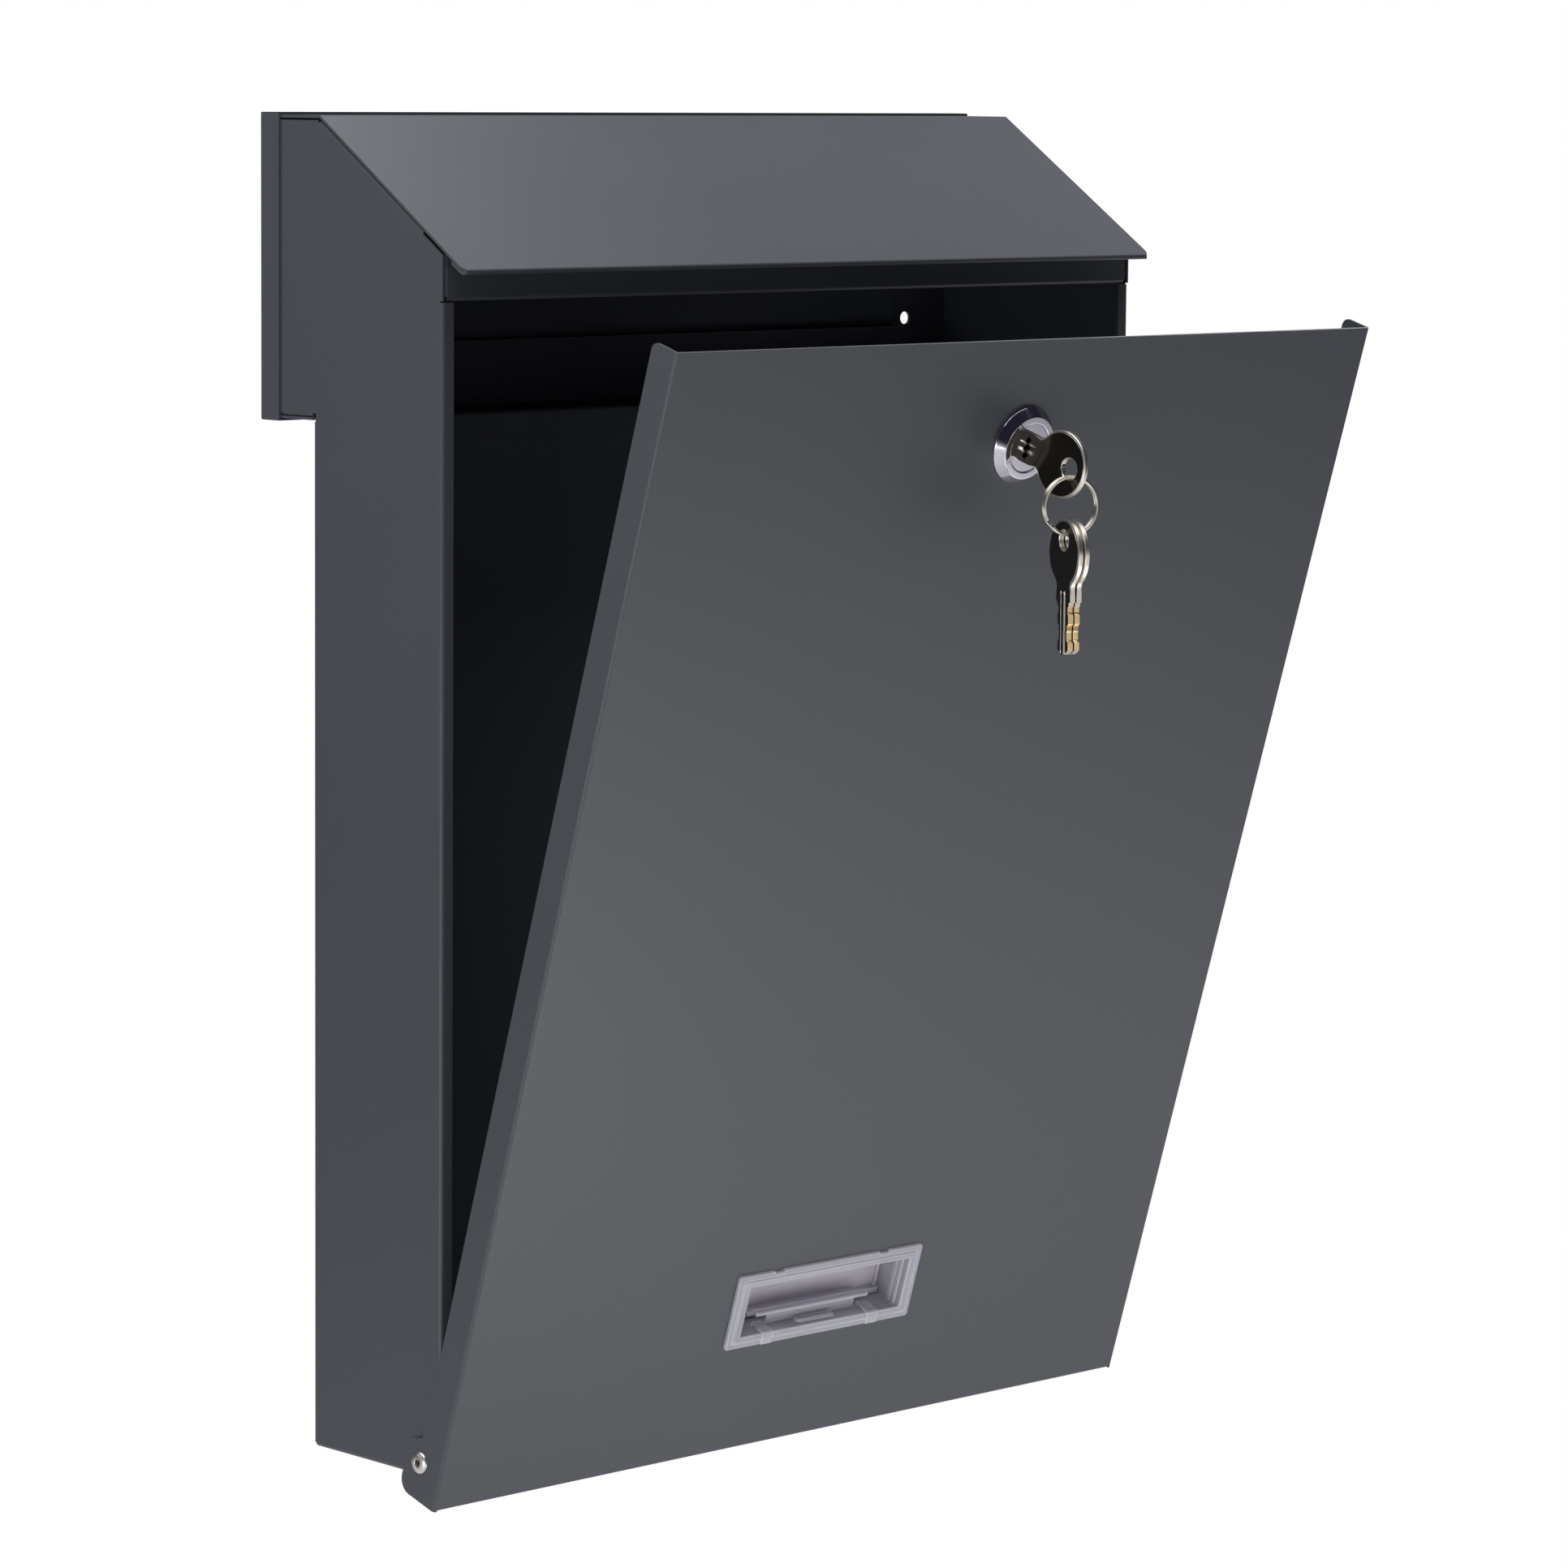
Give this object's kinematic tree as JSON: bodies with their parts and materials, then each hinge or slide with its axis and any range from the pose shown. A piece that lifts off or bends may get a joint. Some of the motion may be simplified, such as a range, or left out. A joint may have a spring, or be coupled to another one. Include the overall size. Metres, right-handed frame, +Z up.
{
  "type": "letterbox",
  "caption": "Folded sheet-steel wall letterbox with a sloping roof, a rear inlet throat and flap, and a bottom-hinged lockable door with keys and a clear name plate.",
  "frame": {"origin": "centre of the four mounting holes, on the rear face of the inlet frame, which lies on the wall or fence", "axes": "+X across to the right as seen from the door side, +Y out of the rear face into the wall, +Z up"},
  "size_m": [0.2926, 0.2075, 0.4105],
  "materials": {
    "powder_coat": "satin, fine texture",
    "zinc_steel": "bright zinc plate",
    "aluminium_rivet": "bare, smooth",
    "chrome_lock": "polished",
    "nickel_key": "polished nickel",
    "steel_ring": "polished nickel",
    "clear_plastic": "clear moulded plastic"
  },
  "bodies": {
    "box": {"left_side_panel": "powder_coat", "right_side_panel": "powder_coat", "back_panel": "powder_coat", "bottom_panel": "powder_coat", "throat_floor": "powder_coat", "roof_panel": "powder_coat", "lintel": "powder_coat", "inlet_frame": "powder_coat", "flap_rod": "zinc_steel", "flap_brackets": "zinc_steel", "hinge_rivets": "aluminium_rivet"},
    "flap": {"inlet_flap": "powder_coat"},
    "door": {"door_panel": "powder_coat", "lock_housing": "chrome_lock", "lock_nut": "zinc_steel", "nameplate_frame": "clear_plastic"},
    "plug": {"lock_plug": "chrome_lock", "lock_cam": "zinc_steel", "cam_washer": "zinc_steel", "cam_screw": "zinc_steel"},
    "key": {"door_key": "nickel_key"},
    "ring": {"key_ring": "steel_ring"},
    "front_spare": {"spare_key_front": "nickel_key"},
    "back_spare": {"spare_key_back": "nickel_key"},
    "cover": {"nameplate_cover": "clear_plastic"}
  },
  "joints": [
    {"name": "door_hinge", "type": "hinge", "parent": "box", "child": "door", "pos_m": [0, -0.076, -0.3511], "axis": [1, 0, 0], "range_deg": [-16.7, 58.3]},
    {"name": "flap_hinge", "type": "hinge", "parent": "box", "child": "flap", "pos_m": [0, -0.00325, 0.0161], "axis": [-1, 0, 0], "range_deg": [0, 80]},
    {"name": "lock_turn", "type": "hinge", "parent": "door", "child": "plug", "pos_m": [0, -0.17681, -0.04986], "axis": [0, -0.9578, -0.2874], "range_deg": [0, 90]},
    {"name": "key_pull", "type": "slide", "parent": "plug", "child": "key", "axis": [0, -0.9578, -0.2874], "range_m": [0, 0.025]},
    {"name": "ring_swing", "type": "hinge", "parent": "key", "child": "ring", "pos_m": [0, -0.1974, -0.05677], "axis": [-1, 0, 0], "range_deg": [-16, 45]},
    {"name": "front_spare_swing", "type": "hinge", "parent": "ring", "child": "front_spare", "pos_m": [0, -0.1974, -0.07542], "axis": [0.9397, -0.342, 0], "range_deg": [-25, 25]},
    {"name": "back_spare_swing", "type": "hinge", "parent": "ring", "child": "back_spare", "pos_m": [0, -0.1974, -0.07542], "axis": [0.9397, -0.342, 0], "range_deg": [-25, 25]},
    {"name": "cover_hinge", "type": "hinge", "parent": "door", "child": "cover", "pos_m": [0, -0.0828, -0.32391], "axis": [-1, 0, 0], "range_deg": [0, 90]}
  ]
}
